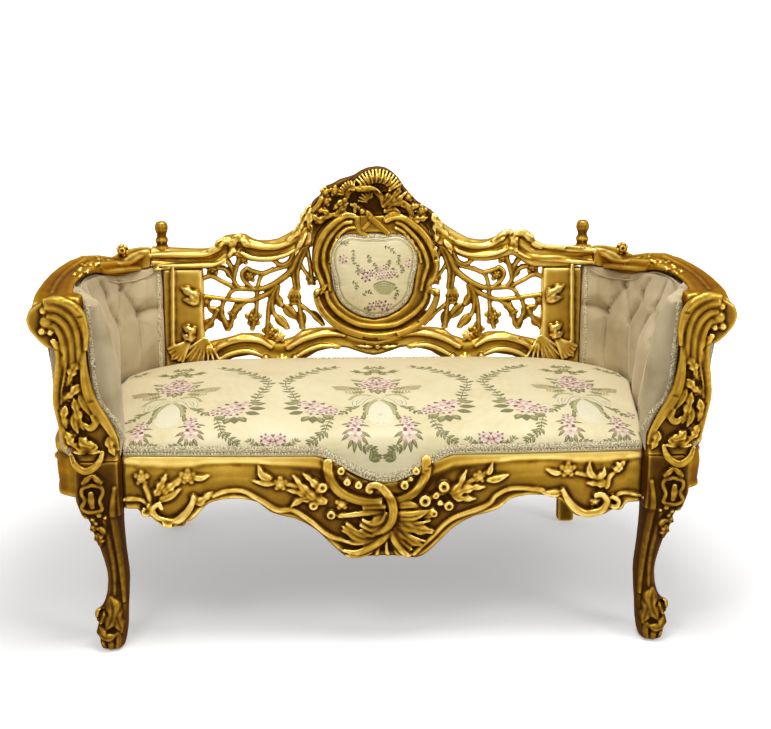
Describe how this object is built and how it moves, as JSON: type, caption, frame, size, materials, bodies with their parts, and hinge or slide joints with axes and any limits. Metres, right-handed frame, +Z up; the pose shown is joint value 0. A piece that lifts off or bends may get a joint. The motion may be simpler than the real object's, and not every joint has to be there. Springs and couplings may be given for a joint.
{
  "type": "cabriole_sofa",
  "caption": "Gilt carved rococo settee with a shell crest, a pierced back with an upholstered medallion, tufted curved arms, a brocade seat and cabriole legs",
  "frame": {"origin": "floor level, below the middle of the box round the settee", "axes": "+X to the sitter's left (the viewer's right when the settee is seen from the front), +Y to the rear, +Z up"},
  "size_m": [1.48, 0.7158, 0.967],
  "materials": {
    "gilt_wood": "water gilded and burnished, dark in the recesses",
    "beech_carcass": "planed, unfinished",
    "taupe_velvet": "short pile, diamond tufted",
    "floral_brocade": "woven figured satin",
    "jute_hessian": "plain weave",
    "spring_steel": "drawn wire"
  },
  "bodies": {
    "root": {"front_seat_rail": "gilt_wood", "side_seat_rail_right": "gilt_wood", "side_seat_rail_left": "gilt_wood", "front_leg_right": "gilt_wood", "front_leg_left": "gilt_wood", "back_upright_right": "gilt_wood", "back_upright_left": "gilt_wood", "arm_post_right": "gilt_wood", "arm_post_left": "gilt_wood", "arm_rail_right": "gilt_wood", "arm_rail_left": "gilt_wood", "crest_rail_right": "gilt_wood", "crest_rail_left": "gilt_wood", "crest_cartouche": "gilt_wood", "medallion_frame": "gilt_wood", "lower_back_rail": "gilt_wood", "fretwork_right": "gilt_wood", "fretwork_left": "gilt_wood", "rose_finial_right": "gilt_wood", "rose_finial_left": "gilt_wood", "rail_rosette_right": "gilt_wood", "rail_rosette_left": "gilt_wood", "rear_seat_rail": "beech_carcass", "inner_front_rail": "beech_carcass", "front_corner_block_right": "beech_carcass", "front_corner_block_left": "beech_carcass", "rear_corner_block_right": "beech_carcass", "rear_corner_block_left": "beech_carcass", "arm_pad_right": "taupe_velvet", "arm_pad_left": "taupe_velvet", "arm_outside_cover_right": "taupe_velvet", "arm_outside_cover_left": "taupe_velvet", "arm_hessian_right": "jute_hessian", "arm_hessian_left": "jute_hessian", "medallion_pad": "floral_brocade", "medallion_back_cover": "floral_brocade", "seat_cushion": "floral_brocade", "spring_cover": "jute_hessian", "dust_cover": "jute_hessian", "seat_spring_1": "spring_steel", "seat_spring_2": "spring_steel", "seat_spring_3": "spring_steel", "seat_spring_4": "spring_steel", "seat_spring_5": "spring_steel", "seat_spring_6": "spring_steel", "seat_spring_7": "spring_steel"}
  },
  "joints": []
}
